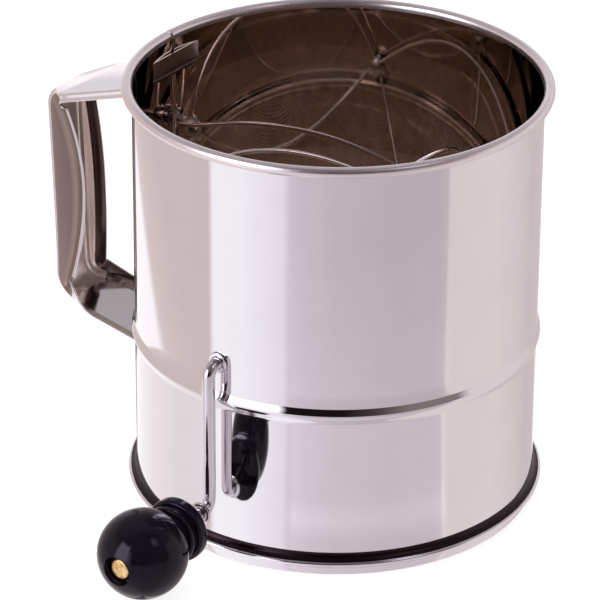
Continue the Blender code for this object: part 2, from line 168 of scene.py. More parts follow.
# Handle: the outer face of the strap, as distance from the wall and height
HANDLE_TOP = 0.1531
HANDLE_TOP_SLOPE = 0.31
HANDLE_BOTTOM = 0.0375
HANDLE_BOTTOM_SLOPE = 0.20
HANDLE_REACH_TOP = 0.0562
HANDLE_REACH_BOTTOM = 0.0520
HANDLE_SHEET = 0.0009
HANDLE_FOOT = 0.009
GRIP_HALF_WIDTH = 0.011
GRIP_FLANGE = 0.0150
TOP_FALL = 0.45                # share of the flange lost at the grip's ends
BOTTOM_FALL = 0.30
TOP_GRIP_START = 0.68          # share of the reach where a leg begins to turn into the grip
BOTTOM_GRIP_START = 0.50
GRIP_FULL = 0.95
GRIP_SHADE_START = 0.8         # share of the lower reach where the grip's painted shades and reflections begin
LIP_FLARE = 0.0019
LIP_REACH = 0.0042
STRAP_ROUND = 0.0021           # outside of the strap's long corners
GRIP_LEAN = 0.0055             # of the flanges' edges, at the grip's middle
END_LEAN = 0.0020
GRIP_HALF_LENGTH = 0.040
TOP_LEG_HALF_WIDTH = 0.0200
TOP_LEG_FLANGE = 0.0034
BOTTOM_LEG_HALF_WIDTH = 0.013
BOTTOM_LEG_FLANGE = 0.0030
BOTTOM_LEG_SPLAY = 0.005
CORNER_RADIUS = 0.009
FOOT_BEND = 0.0022
FOOT_BLEND = 0.006             # distance over which the feet leave the wall's curve
STRAP_STEP = 0.0022
STRAP_BEND_STEPS = 14
CORNER_STEPS = 5

# Finish and view; lines are noise scales along x, y and z
FINE = 256                     # steps round the can
MEDIUM = 64                    # steps round small turned pieces
LINES_ROUND_CAN = (20, 20, 1500)
LINES_ACROSS_STRAP = (300, 1500, 60)
LINES_ON_STRAP_SIDE = (300, 60, 1500)
LINES_ALONG_WIRE = (900, 60, 900)
CAMERA_PLACE = AXIS + Vector((0.7227, -1.0714, 0.7324))
CAMERA_TARGET = AXIS + Vector((-0.0116, -0.0078, 0.0765))
CAMERA_LENS = 224.6
CAMERA_ROLL = 0.0048


# Shapes

def arc(centre, radius, start, end, steps):
    """Points on a circle in a plane, from one angle to another in degrees."""
    angles = [math.radians(start + (end - start) * i / steps) for i in range(steps + 1)]
    return [(centre[0] + radius * math.cos(a), centre[1] + radius * math.sin(a)) for a in angles]


def even_angles(steps):
    """Angles of equal steps round a circle."""
    return [math.tau * i / steps for i in range(steps)]


def about_z(radius, height, angle):
    """Point of a turned shape that stands upright."""
    return (radius * math.cos(angle), radius * math.sin(angle), height)


def about_y(radius, height, angle):
    """Point of a turned shape that lies along the shaft."""
    return (radius * math.cos(angle), height, radius * math.sin(angle))


def revolve(profile, angles, place):
    """Closed profile of (radius, height) points, carried round through the angles by place."""
    shape = bmesh.new()
    columns = [[shape.verts.new(place(radius, height, angle)) for radius, height in profile]
               for angle in angles]
    for column, following in zip(columns, columns[1:] + columns[:1]):
        for j in range(len(profile)):
            k = (j + 1) % len(profile)
            if profile[j][0] > 0 or profile[k][0] > 0:
                shape.faces.new((column[j], following[j], following[k], column[k]))
    bmesh.ops.remove_doubles(shape, verts=shape.verts, dist=1e-7)
    return shape


def loft(shape, sections):
    """Rings of points, joined one to the next and closed at both ends."""
    rings = [[shape.verts.new(point) for point in section] for section in sections]
    count = len(rings[0])
    for ring, following in zip(rings, rings[1:]):
        for i in range(count):
            j = (i + 1) % count
            shape.faces.new((ring[i], ring[j], following[j], following[i]))
    shape.faces.new(rings[0])
    shape.faces.new(rings[-1])


def tangents(points):
    """Unit direction of a path at each of its points."""
    last = len(points) - 1
    return [(Vector(points[min(i + 1, last)]) - Vector(points[max(i - 1, 0)])).normalized()
            for i in range(len(points))]


def tube(shape, points, normals, radius, sides):
    """Round wire along a path, with a direction across the path given at each point."""
    sections = []
    for point, direction, normal in zip(points, tangents(points), normals):
        sideways = direction.cross(normal).normalized()
        upright = sideways.cross(direction)
        sections.append([point + radius * (math.cos(a) * sideways + math.sin(a) * upright)
                         for a in even_angles(sides)])
    loft(shape, sections)


def plane_wire(path, plane, radius, sides):
    """Round wire along a plane path; plane holds the two 3-D directions of the path's axes."""
    first, second = plane
    shape = bmesh.new()
    points = [first * point[0] + second * point[1] for point in path]
    tube(shape, points, [first.cross(second)] * len(points), radius, sides)
    return shape


def rounded_path(corners, radii, steps):
    """Corner points of a plane path, each inner corner replaced by an arc of its radius."""
    path = [Vector(corners[0])]
    for i, radius in enumerate(radii, start=1):
        corner = Vector(corners[i])
        to_last = (Vector(corners[i - 1]) - corner).normalized()
        to_next = (Vector(corners[i + 1]) - corner).normalized()
        half = to_last.angle(to_next) / 2
        centre = corner + (to_last + to_next).normalized() * radius / math.sin(half)
        start = corner + to_last * radius / math.tan(half) - centre
        end = corner + to_next * radius / math.tan(half) - centre
        start_angle = math.degrees(math.atan2(start[1], start[0]))
        turn = math.degrees(start.angle_signed(end))
        path += [Vector(point) for point in arc(centre, radius, start_angle, start_angle - turn, steps)]
    path.append(Vector(corners[-1]))
    return path


def subdivide(path, longest):
    """Adds points on the long straight stretches of a path."""
    result = [path[0]]
    for point in path[1:]:
        count = math.ceil((point - result[-1]).length / longest)
        start = result[-1]
        result += [start.lerp(point, i / count) for i in range(1, count + 1)]
    return result


def smooth_step(value):
    """0 to 1 with level ends, for a value from 0 to 1."""
    value = min(max(value, 0), 1)
    return value * value * (3 - 2 * value)


def rounded_profile(corners, rounds, steps=4):
    """Closed outline whose corners are replaced by arcs; a round of 0 keeps the corner sharp."""
    outline = []
    count = len(corners)
    for i, radius in enumerate(rounds):
        trio = (corners[i - 1], corners[i], corners[(i + 1) % count])
        if radius > 0:
            outline += rounded_path(trio, (radius,), steps)[1:-1]
        else:
            outline.append(Vector(corners[i]))
    return [(point[0], point[1]) for point in outline]


def add_piece(name, shape, materials, body, nodes, place=AXIS, sharp=40):
    """Turns a bmesh into a piece that rides on a body and stands for some CAD nodes."""
    bmesh.ops.recalc_face_normals(shape, faces=shape.faces)
    mesh = bpy.data.meshes.new(name)
    shape.to_mesh(mesh)
    shape.free()
    for material in materials:
        mesh.materials.append(material)
    mesh.shade_smooth()
    mesh.set_sharp_from_angle(angle=math.radians(sharp))
    piece = bpy.data.objects.new(name, mesh)
    piece.location = place
    bpy.context.collection.objects.link(piece)
    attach(piece, body)
    if nodes:
        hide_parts(*nodes)


# Materials

class Graph:
    """Short calls that build one material's or the world's nodes."""

    def __init__(self, owner):
        owner.use_nodes = True
        self.tree = owner.node_tree
        self.nodes = self.tree.nodes

    def node(self, kind, **settings):
        """New node of a kind with its settings."""
        made = self.nodes.new(kind)
        for key, value in settings.items():
            setattr(made, key, value)
        return made

    def join(self, output, socket):
        self.tree.links.new(output, socket)

    def feed(self, socket, value):
        """Links an output to a socket, or sets the socket to a number or colour."""
        if isinstance(value, bpy.types.NodeSocket):
            self.join(value, socket)
        else:
            socket.default_value = value

    def math(self, operation, first, second=0.0):
        made = self.node("ShaderNodeMath", operation=operation)
        self.feed(made.inputs[0], first)
        self.feed(made.inputs[1], second)
        return made.outputs[0]

    def dot(self, vector, direction):
        made = self.node("ShaderNodeVectorMath", operation="DOT_PRODUCT")
        self.join(vector, made.inputs[0])
        made.inputs[1].default_value = direction
        return made.outputs["Value"]

    def scaled(self, vector, scale):
        made = self.node("ShaderNodeMapping")
        self.join(vector, made.inputs["Vector"])
        made.inputs["Scale"].default_value = scale
        return made.outputs["Vector"]

    def noise(self, vector, scale, detail=3.0, roughness=0.5):
        made = self.node("ShaderNodeTexNoise")
        self.join(vector, made.inputs["Vector"])
        made.inputs["Scale"].default_value = scale
        made.inputs["Detail"].default_value = detail
        made.inputs["Roughness"].default_value = roughness
        return made.outputs["Fac"]

    def spread(self, value, low, high, new_low, new_high, smooth=False):
        made = self.node("ShaderNodeMapRange")
        if smooth:
            made.interpolation_type = "SMOOTHSTEP"
        self.join(value, made.inputs["Value"])
        for key, number in (("From Min", low), ("From Max", high), ("To Min", new_low), ("To Max", new_high)):
            made.inputs[key].default_value = number
        return made.outputs["Result"]

    def ramp(self, value, stops):
        made = self.node("ShaderNodeValToRGB")
        elements = made.color_ramp.elements
        while len(elements) < len(stops):
            elements.new(1.0)
        for element, (position, colour) in zip(elements, stops):
            element.position = position
            element.color = (*colour, 1)
        self.join(value, made.inputs["Fac"])
        return made.outputs["Color"]

    def mix(self, factor, first, second):
        made = self.node("ShaderNodeMix", data_type="RGBA")
        self.feed(made.inputs["Factor"], factor)
        colours = [socket for socket in made.inputs if socket.type == "RGBA"]
        self.feed(colours[0], first)
        self.feed(colours[1], second)
        return [socket for socket in made.outputs if socket.type == "RGBA"][0]

    def tint(self, first, second):
        """Product of two colours, which may go over 1."""
        made = self.node("ShaderNodeVectorMath", operation="MULTIPLY")
        self.join(first, made.inputs[0])
        self.join(second, made.inputs[1])
        return made.outputs["Vector"]

    def bump(self, height, strength, distance):
        made = self.node("ShaderNodeBump")
        made.inputs["Strength"].default_value = strength
        made.inputs["Distance"].default_value = distance
        self.join(height, made.inputs["Height"])
        return made.outputs["Normal"]


def new_material(name):
    """Material with its node graph, its shader and the object's own coordinates."""
    material = bpy.data.materials.new(name)
    graph = Graph(material)
    shader = graph.nodes["Principled BSDF"]
    coordinates = graph.node("ShaderNodeTexCoord").outputs["Object"]
    return material, graph, shader, coordinates


def shade(colour, factor):
    """Colour made darker by a factor."""
    return tuple(channel * factor for channel in colour)


def steel(name, colour, smooth, rough, line_scale, line_strength):
    """Metal with faint drawing lines, cloudy smudges and a few duller spots."""
    material, graph, shader, coordinates = new_material(name)
    shader.inputs["Metallic"].default_value = 1.0
    clouds = graph.noise(coordinates, 42.0, 4.0, 0.6)
    tone = graph.ramp(clouds, ((0.30, shade(colour, 0.965)), (0.62, colour)))
    graph.join(tone, shader.inputs["Base Color"])
    lines = graph.noise(graph.scaled(coordinates, line_scale), 1.0, 2.0, 0.6)
    spots = graph.noise(coordinates, 310.0, 2.0, 0.5)
    cloudy = graph.spread(clouds, 0.35, 0.70, smooth, rough)
    spotty = graph.spread(spots, 0.62, 0.80, 0.0, 0.03)
    graph.join(graph.math("ADD", cloudy, spotty), shader.inputs["Roughness"])
    graph.join(graph.bump(lines, line_strength, 0.00002), shader.inputs["Normal"])
    return material


def brass_material():
    """Turned brass, browner where the tarnish sits."""
    material, graph, shader, coordinates = new_material("turned_brass")
    shader.inputs["Metallic"].default_value = 1.0
    tarnish = graph.noise(coordinates, 620.0, 4.0, 0.6)
    tone = graph.ramp(tarnish, ((0.34, (0.52, 0.30, 0.11)), (0.58, (0.92, 0.66, 0.33))))
    graph.join(tone, shader.inputs["Base Color"])
    graph.join(graph.spread(tarnish, 0.3, 0.7, 0.42, 0.20), shader.inputs["Roughness"])
    lines = graph.noise(graph.scaled(coordinates, (900, 4000, 900)), 1.0, 2.0)
    graph.join(graph.bump(lines, 0.15, 0.00004), shader.inputs["Normal"])
    return material


def plastic_material():
    """Glossy black moulding with faint orange peel and rubbed, duller patches."""
    material, graph, shader, coordinates = new_material("black_moulding")
    rubbed = graph.noise(coordinates, 95.0, 5.0, 0.65)
    tone = graph.ramp(rubbed, ((0.35, (0.0040, 0.0024, 0.0052)), (0.75, (0.0075, 0.0052, 0.0105))))
    graph.join(tone, shader.inputs["Base Color"])
    shader.inputs["IOR"].default_value = 1.50
    shader.inputs["Specular IOR Level"].default_value = 0.21
    shader.inputs["Specular Tint"].default_value = (0.93, 0.81, 1.0, 1)
    scratches = graph.noise(graph.scaled(coordinates, (260, 2600, 260)), 1.0, 3.0, 0.7)
    worn = graph.spread(rubbed, 0.40, 0.75, 0.07, 0.16)
    marks = graph.spread(scratches, 0.60, 0.80, 0.0, 0.08)
    graph.join(graph.math("ADD", worn, marks), shader.inputs["Roughness"])
    peel = graph.noise(coordinates, 480.0, 2.0, 0.4)
    graph.join(graph.bump(peel, 0.10, 0.00006), shader.inputs["Normal"])
    return material


def mesh_material():
    """Drawn wire of the screen, darker and browner in patches."""
    material, graph, shader, coordinates = new_material("woven_wire")
    shader.inputs["Metallic"].default_value = 0.55
    patches = graph.noise(coordinates, 130.0, 4.0, 0.6)
    tone = graph.ramp(patches, ((0.32, (0.40, 0.30, 0.235)), (0.66, (0.66, 0.53, 0.44))))
    graph.join(tone, shader.inputs["Base Color"])
    graph.join(graph.spread(patches, 0.3, 0.7, 0.42, 0.26), shader.inputs["Roughness"])
    return material


# Can

def seam_pinch(angle):
    """1 in the middle of the seam under the handle, 0 away from it."""
    offset = abs(angle % math.tau - math.pi)
    return 1 - smooth_step(offset * BODY_RADIUS / (SEAM_WIDTH / 2))


def can_angles():
    """Even steps round the can, with more at the seam."""
    half = SEAM_WIDTH / 2 / BODY_RADIUS
    fine = [math.pi + half * i / 6 for i in range(-6, 7)]
    spaced = [angle for angle in even_angles(FINE) if abs(angle - math.pi) > half * 1.1]
    return sorted(spaced + fine)


def bead_swell(z):
    """How far the pressed bead stands out at a height, as a raised cosine."""
    if abs(z - BEAD_HEIGHT) >= BEAD_HALF:
        return 0
    return BEAD_BULGE * (1 + math.cos(math.pi * (z - BEAD_HEIGHT) / BEAD_HALF)) / 2


def bead_points(radius, rising):
    """The pressed bead on a wall of this radius."""
    count = 20
    heights = [BEAD_HEIGHT - BEAD_HALF + 2 * BEAD_HALF * i / count for i in range(count + 1)]
    points = [(radius + bead_swell(z), z) for z in heights]
    return points if rising else points[::-1]


def can_profile():
    """Outline of the wall with its flared bottom edge, bead and rolled rim."""
    roll = (FLANGE_RADIUS - FLANGE_ROLL, FLANGE_UNDERSIDE + FLANGE_ROLL)
    flare = roll[0] - BODY_RADIUS
    rim = (RIM_RADIUS - RIM_TUBE, HEIGHT - RIM_TUBE)
    rim_start = -math.degrees(math.acos((BODY_RADIUS - rim[0]) / RIM_TUBE))
    profile = [(BODY_INSIDE, FLANGE_UNDERSIDE)]
    profile += arc(roll, FLANGE_ROLL, -90, 90, 12)
    profile += [(roll[0] - flare * math.sin(a), roll[1] + FLANGE_ROLL + FLARE_HEIGHT * (1 - math.cos(a)))
                for a in (math.pi / 2 * i / 14 for i in range(1, 15))]
    profile += bead_points(BODY_RADIUS, rising=True)
    profile += [(BODY_RADIUS, z) for z in WALL_LEVELS]
    profile += arc(rim, RIM_TUBE, rim_start, 0, 12) + arc(rim, RIM_TUBE, 0, 180, 16)[1:]
    profile.append((BODY_INSIDE, rim[1] - RIM_TUBE / 2))
    profile += [(BODY_INSIDE, z) for z in WALL_LEVELS[::-1]]
    profile += bead_points(BODY_INSIDE, rising=False)
    return profile


def can_point(radius, height, angle):
    """A point of the wall, with the seam's groove inside it and its nick in the rolled rim."""
    pinch = seam_pinch(angle)
    if radius < BODY_RADIUS - WALL / 2 and height < HEIGHT - RIM_TUBE:
        radius += SEAM_DEPTH * pinch
    if height > HEIGHT - 2 * RIM_TUBE and radius > BODY_INSIDE:
        centre = (RIM_RADIUS - RIM_TUBE, HEIGHT - RIM_TUBE)
        keep = 1 - SEAM_NICK * pinch
        radius = centre[0] + (radius - centre[0]) * keep
        height = centre[1] + (height - centre[1]) * keep
    return about_z(radius, height, angle)


def can_shade(place):
    """Slot of a face by the middle of it: 0 wall, 1 inside, a darker browner copy of the steel as painted
    shade, 2 rolled rim, 3 groove above the flange, near black as painted shade.
    """
    reach = math.hypot(place.x, place.y)
    if place.z > HEIGHT - 2 * RIM_TUBE:
        return 2
    if reach < BODY_RADIUS - WALL / 2 + bead_swell(place.z):
        return 1
    roll_top = FLANGE_UNDERSIDE + 2 * FLANGE_ROLL
    # The groove's near black slot is painted shade
    if roll_top < place.z < roll_top + FLARE_HEIGHT:
        return 3
    return 0


def make_can(materials):
    """The drawn wall, with a tone of steel for each of its parts; the inside and the groove above the flange
    take painted shade.
    """
    shape = revolve(can_profile(), can_angles(), can_point)
    for face in shape.faces:
        face.material_index = can_shade(face.calc_center_median())
    add_piece("can_wall", shape, materials, "can", ["body_shell"])


def make_base_ring(polished):
    """The ring that shows below the flared edge."""
    outer = BODY_INSIDE - GAP
    inner = outer - BASE_THICKNESS
    lip = outer + BASE_LIP
    corners = [(inner, 0), (lip, 0), (lip, BASE_STEP), (outer, BASE_STEP), (outer, BASE_TOP),
               (inner, BASE_TOP)]
    rounds = (0.0002, 0.0006, 0.0006, 0, 0.0003, 0.0003)
    shape = revolve(rounded_profile(corners, rounds, 6), even_angles(FINE), about_z)
    add_piece("foot_ring", shape, [polished], "can", ["base_ring"])


def bowl_point(along, across, lift):
    """Point of the bowl at a distance along and across its middle, measured over the surface."""
    distance = math.hypot(along, across)
    angle = distance / SCREEN_RADIUS
    radius = SCREEN_RADIUS + SCREEN_SHEET / 2 - lift
    if distance == 0:
        return Vector((0, 0, SHAFT_HEIGHT - radius))
    spread = radius * math.sin(angle) / distance
    return Vector((along * spread, across * spread, SHAFT_HEIGHT - radius * math.cos(angle)))


def weave_wire(shape, line, turned, reach):
    """One wire of the weave, over and under those that it crosses."""
    offset = line * MESH_PITCH
    steps = int(math.sqrt(reach ** 2 - offset ** 2) / MESH_PITCH)
    points = []
    for step in range(-steps, steps + 1):
        lift = MESH_WIRE * (MESH_RISE if (line + step) % 2 == turned else -MESH_RISE)
        place = (offset, step * MESH_PITCH) if turned else (step * MESH_PITCH, offset)
        points.append(bowl_point(*place, lift))
    if len(points) > 2:
        centre = Vector((0, 0, SHAFT_HEIGHT))
        tube(shape, points, [(centre - point).normalized() for point in points], MESH_WIRE, 4)


def make_screen(woven):
    """The woven bowl with its folded edge."""
    shape = bmesh.new()
    reach = SCREEN_RADIUS * (SCREEN_RIM_ANGLE - MESH_MARGIN)
    count = int(reach / MESH_PITCH)
    for turned in (0, 1):
        for line in range(-count, count + 1):
            weave_wire(shape, line, turned, reach)
    add_piece("mesh_bowl", shape, [woven], "can", ["screen_mesh"], sharp=80)

    inner = SCREEN_RADIUS * math.sin(SCREEN_RIM_ANGLE) - MESH_FOLD
    fold = [(inner, SCREEN_RIM_Z), (SCREEN_RIM_RADIUS, SCREEN_RIM_Z), (SCREEN_RIM_RADIUS, SCREEN_TOP),
            (inner, SCREEN_TOP)]
    outline = rounded_profile(fold, (0.0002,) * 4, 3)
    add_piece("mesh_edge", revolve(outline, even_angles(FINE), about_z), [woven], "can", [])


def make_screen_rings(polished):
    """The two rings that hold the screen's edge."""
    band_z = SCREEN_TOP + GAP
    centre = (BAND_TUBE_RADIUS, band_z + BAND_TUBE)
    meet = math.degrees(math.asin((BAND_TUBE - RING_SHEET) / BAND_TUBE))
    band = arc(centre, BAND_TUBE, -meet, 270, 20)
    band += [(RING_RADIUS, band_z), (RING_RADIUS, band_z + RING_SHEET)]
    shape = revolve(band, even_angles(FINE), about_z)
    add_piece("holding_band", shape, [polished], "can", ["screen_band"])

    clamp_z = SCREEN_RIM_Z - GAP
    skirt = RING_RADIUS - RING_SHEET
    low = clamp_z - CLAMP_SKIRT
    clamp = [(CLAMP_INNER, clamp_z), (CLAMP_INNER, clamp_z - RING_SHEET), (skirt, clamp_z - RING_SHEET),
             (skirt, low), (RING_RADIUS, low), (RING_RADIUS, clamp_z)]
    outline = rounded_profile(clamp, (0.0003, 0.0003, 0.0004, 0.0003, 0.0003, 0.0005), 3)
    shape = revolve(outline, even_angles(FINE), about_z)
    add_piece("holding_clamp", shape, [polished], "can", ["screen_clamp"])


def make_eyelet(name, node, side, material):
    """Flanged bush through the wall. side is -1 for the crank's wall and 1 for the far one."""
    sag = BODY_INSIDE - math.sqrt(BODY_INSIDE ** 2 - EYELET_FLANGE ** 2)
    inner_back = BODY_INSIDE - GAP - sag
    inner_face = inner_back - EYELET_SHEET
    outer_back = BODY_RADIUS + GAP
    outer_face = outer_back + EYELET_SHEET
    corners = [(BORE_RADIUS, inner_face), (EYELET_FLANGE, inner_face), (EYELET_FLANGE, inner_back),
               (EYELET_TUBE, inner_back), (EYELET_TUBE, outer_back), (EYELET_FLANGE, outer_back),
               (EYELET_FLANGE, outer_face), (BORE_RADIUS, outer_face)]
    rounds = (0.0003, 0.0003, 0.0001, 0, 0, 0.0001, 0.00045, 0.0003)
    outline = [(r, side * y) for r, y in rounded_profile(corners, rounds)]
    shape = revolve(outline, even_angles(MEDIUM), about_y)
    add_piece(name, shape, [material], "can", [node], SHAFT_PLACE)


# Handle

def handle_path():
    """Outer face of the strap from the lower foot to the upper one, as (distance, height)."""
    wall = GAP + HANDLE_SHEET
    slant = (HANDLE_REACH_TOP - HANDLE_REACH_BOTTOM) / (HANDLE_TOP - HANDLE_BOTTOM)

    def grip_corner(height, slope):
        reach = HANDLE_REACH_BOTTOM + slant * (height - HANDLE_BOTTOM)
        z = height + slope * reach
        return (HANDLE_REACH_BOTTOM + slant * (z - HANDLE_BOTTOM), z)

    corners = [
        (wall, HANDLE_BOTTOM - HANDLE_FOOT), (wall, HANDLE_BOTTOM),
        grip_corner(HANDLE_BOTTOM, HANDLE_BOTTOM_SLOPE),
        grip_corner(HANDLE_TOP, -HANDLE_TOP_SLOPE),
        (wall, HANDLE_TOP), (wall, HANDLE_TOP + HANDLE_FOOT)]
    radii = (FOOT_BEND, CORNER_RADIUS, CORNER_RADIUS, FOOT_BEND)
    return subdivide(rounded_path(corners, radii, STRAP_BEND_STEPS), STRAP_STEP)


def strap_section(half, flange, lean):
    """Points (across, depth) of a thin C with rounded corners, whose free edges flare outwards.
    A flange too shallow for its corners is made deeper first and squeezed at the end."""
    sheet = HANDLE_SHEET
    full = max(flange, 2.6 * sheet)
    reach = min(LIP_REACH, 0.45 * full)
    flare = LIP_FLARE * reach / LIP_REACH
    curve = 1.4 * reach
    edge = half - lean
    outer = [(-edge - flare, full), (-edge, full - reach), (-half, 0)]
    inner = [(-edge - flare + 1.2 * sheet, full), (-edge + sheet, full - reach),
             (-half + 1.1 * sheet, sheet)]
    corners = outer + [(-x, depth) for x, depth in outer[::-1]]
    corners += [(-x, depth) for x, depth in inner] + inner[::-1]
    side = full - reach
    corner_round = min(STRAP_ROUND, 0.45 * side)
    outer_rounds = (0.0003, curve, corner_round)
    inner_rounds = (0.0003, curve, min(max(corner_round - sheet, 0.0005), 0.4 * (side - sheet)))
    rounds = outer_rounds + outer_rounds[::-1] + inner_rounds + inner_rounds[::-1]
    squeeze = max((flange - sheet) / (full - sheet), 0.02)
    section = []
    for across, depth in rounded_profile(corners, rounds, CORNER_STEPS):
        section.append((across, min(depth, sheet) + max(depth - sheet, 0) * squeeze))
    return section


def strap_shade(place, distance, z):
    """Slot of a face by its place round the section and along the strap: 0 outside, 1 on the grip's
    sides and inside the lower leg's flanges, 2 inside the grip's channel up to the middle of the bends
    of its lips, 3 inside the rest of the lips. Slots 1 to 3 take copies of the strap's steel with
    painted light and shade: 1 a darker brown painted reflection, 2 a pale beige painted reflection,
    3 a near black painted shade."""
    corner, step = divmod(place, CORNER_STEPS + 1)
    flat = step == CORNER_STEPS
    floor = corner == 8 and flat
    if distance < GRIP_SHADE_START * HANDLE_REACH_BOTTOM:
        low_flange = z < HANDLE_TOP / 2 and 6 <= corner <= 10 and not floor
        return 1 if low_flange else 0
    far_bend = corner == 7 and 2 * step >= CORNER_STEPS
    near_bend = corner == 10 and 2 * step < CORNER_STEPS
    if corner in (8, 9) or far_bend or near_bend:
        return 2
    if corner in (6, 7, 10):
        return 3
    side = corner in (1, 4) or (corner == 2 and step == 0) or (corner == 3 and flat)
    return 1 if side else 0


def strap_shape(distance, z):
    """Half width, flange depth and inward lean of the strap at a point of its path."""
    off_wall = smooth_step((distance - 2 * HANDLE_SHEET) / FOOT_BLEND)
    middle = (HANDLE_TOP + HANDLE_BOTTOM) / 2
    if z > middle:
        leg_half, leg_flange, splay = TOP_LEG_HALF_WIDTH, TOP_LEG_FLANGE, 0
        start, fall = TOP_GRIP_START, TOP_FALL
    else:
        leg_half, leg_flange, splay = BOTTOM_LEG_HALF_WIDTH, BOTTOM_LEG_FLANGE, BOTTOM_LEG_SPLAY
        start, fall = BOTTOM_GRIP_START, BOTTOM_FALL
    grip = smooth_step((distance / HANDLE_REACH_TOP - start) / (GRIP_FULL - start))
    leg_half += splay * (1 - off_wall)
    leg_flange = HANDLE_SHEET + (leg_flange - HANDLE_SHEET) * off_wall
    along = min(abs(z - middle) / GRIP_HALF_LENGTH, 1)
    grip_flange = GRIP_FLANGE * (1 - fall * along ** 2)
    half = leg_half + (GRIP_HALF_WIDTH - leg_half) * grip
    flange = leg_flange + (grip_flange - leg_flange) * grip
    lean = (GRIP_LEAN + (END_LEAN - GRIP_LEAN) * along ** 2) * grip - splay * off_wall * (1 - grip)
    return half, flange, lean, off_wall


def make_handle(materials):
    """Strap lofted along its path; its feet follow the can's curve."""
    path = handle_path()
    sections = []
    for (distance, z), direction in zip(path, tangents(path)):
        half, flange, lean, off_wall = strap_shape(distance, z)
        inward = (-direction[1], direction[0])
        section = []
        for across, depth in strap_section(half, flange, lean):
            curve = BODY_RADIUS - math.sqrt(BODY_RADIUS ** 2 - across ** 2)
            reach = distance + inward[0] * depth - curve * (1 - off_wall)
            section.append((-(BODY_RADIUS + reach), across, z + inward[1] * depth))
        sections.append(section)
    shape = bmesh.new()
    loft(shape, sections)
    shape.faces.ensure_lookup_table()
    for number, face in enumerate(shape.faces[:-2]):
        step, place = divmod(number, len(sections[0]))
        # Slots 1 to 3 are painted reflections and painted shade on the same steel
        face.material_index = strap_shade(place, *path[step])
    add_piece("strap_handle", shape, materials, "can", ["handle"])


# Crank, agitator and knob

def make_crank(material):
    """Shaft, arm and spindle, bent from one wire."""
    corners = [(-SHAFT_INNER_END, 0), (-SHAFT_OUT, 0), (-SHAFT_OUT, -ARM_LENGTH),
               (-SHAFT_OUT - SPINDLE_END, -ARM_LENGTH)]
    path = subdivide(rounded_path(corners, (BEND_RADIUS, BEND_RADIUS), 12), 0.004)
    plane = (Vector((0, 1, 0)), Vector((0, 0, 1)))
    shape = plane_wire(path, plane, ROD_RADIUS, ROD_SIDES)
    add_piece("crank_wire", shape, [material], "crank", ["crank_rod"], SHAFT_PLACE)


def make_ferrule(name, node, side, material):
    """Blind sleeve over the end of a shaft; side is -1 for the crank's end."""
    floor = SHAFT_INNER_END - GAP
    corners = [(ROD_BORE, FERRULE_OUTER_END), (FERRULE_RADIUS, FERRULE_OUTER_END),
               (FERRULE_RADIUS, FERRULE_INNER_END), (0, FERRULE_INNER_END), (0, floor), (ROD_BORE, floor)]
    outline = rounded_profile(corners, (0.0002, 0.0008, 0.0008, 0, 0, 0))
    shape = revolve([(r, side * y) for r, y in outline], even_angles(MEDIUM), about_y)
    add_piece(name, shape, [material], "crank", [node], SHAFT_PLACE)


def make_binding(name, side, material):
    """Wire wound round a ferrule, which ties the hoops to it."""
    steps = BINDING_STEPS * BINDING_TURNS
    points = []
    for i in range(steps + 1):
        y = side * (BINDING_START + i / steps * 2 * BINDING_WIRE * BINDING_TURNS)
        points.append(Vector(about_y(BINDING_RADIUS, y, math.tau * i / BINDING_STEPS)))
    normals = [Vector((point.x, 0, point.z)).normalized() for point in points]
    shape = bmesh.new()
    tube(shape, points, normals, BINDING_WIRE, BINDING_SIDES)
    add_piece(name, shape, [material], "crank", [], SHAFT_PLACE)


def make_hoops(material):
    """Half hoops about the shaft, from one ferrule to the other."""
    clear = math.degrees(math.asin(FERRULE_RADIUS / HOOP_RADIUS))
    path = arc((0, 0), HOOP_RADIUS, clear, 180 - clear, HOOP_STEPS)
    for number, angle in enumerate(HOOP_ANGLES, start=1):
        turn = math.radians(angle)
        outwards = Vector((-math.sin(turn), 0, math.cos(turn)))
        shape = plane_wire(path, (Vector((0, 1, 0)), outwards), HOOP_WIRE, HOOP_SIDES)
        node = f"agitator_wire_{number}"
        add_piece(f"hoop_{number}", shape, [material], "crank", [node], SHAFT_PLACE)


def make_pivot_pin(material):
    """Pin through the far eyelet, with a domed head outside."""
    face = BODY_RADIUS + 2 * GAP + EYELET_SHEET
    outline = [(0, SHAFT_INNER_END), (ROD_RADIUS, SHAFT_INNER_END), (ROD_RADIUS, face), (PIN_HEAD, face)]
    outline += [(PIN_HEAD * math.cos(a), face + PIN_EDGE + (PIN_DOME - PIN_EDGE) * math.sin(a))
                for a in (math.pi / 2 * i / 10 for i in range(11))]
    shape = revolve(outline, even_angles(MEDIUM), about_y)
    add_piece("pivot_rivet", shape, [material], "crank", ["pivot_pin"], SHAFT_PLACE)


def make_spindle_piece(name, node, corners, rounds, material):
    """Turned piece on the spindle; its outline is measured outwards from the arm's middle."""
    outline = [(r, -y) for r, y in rounded_profile(corners, rounds)]
    shape = revolve(outline, even_angles(MEDIUM), about_y)
    add_piece(name, shape, [material], "crank", [node], SPINDLE_PLACE)


def spindle_ring(radius, start, end):
    """Corners of a plain ring on the spindle."""
    return [(ROD_BORE, start), (radius, start), (radius, end), (ROD_BORE, end)]


def make_spindle_parts(wire_steel, brass):
    """The collar before the knob, and the washer and the cap in its recess."""
    stop = spindle_ring(STOP_RADIUS, STOP_START, STOP_END)
    make_spindle_piece("spindle_collar", "spindle_stop", stop, (0.0001, 0.0004, 0.0004, 0.0001),
                       wire_steel)
    washer = spindle_ring(WASHER_RADIUS, WASHER_START, WASHER_END)
    make_spindle_piece("recess_washer", "spindle_washer", washer, (0.0001, 0.0002, 0.0002, 0.0001),
                       wire_steel)
    floor = SPINDLE_END + GAP
    cap = [(ROD_BORE, CAP_START), (CAP_RADIUS, CAP_START), (CAP_RADIUS, CAP_END), (0, CAP_END), (0, floor),
           (ROD_BORE, floor)]
    make_spindle_piece("brass_cap", "spindle_cap", cap, (0.0001, 0.0003, 0.0013, 0, 0, 0), brass)


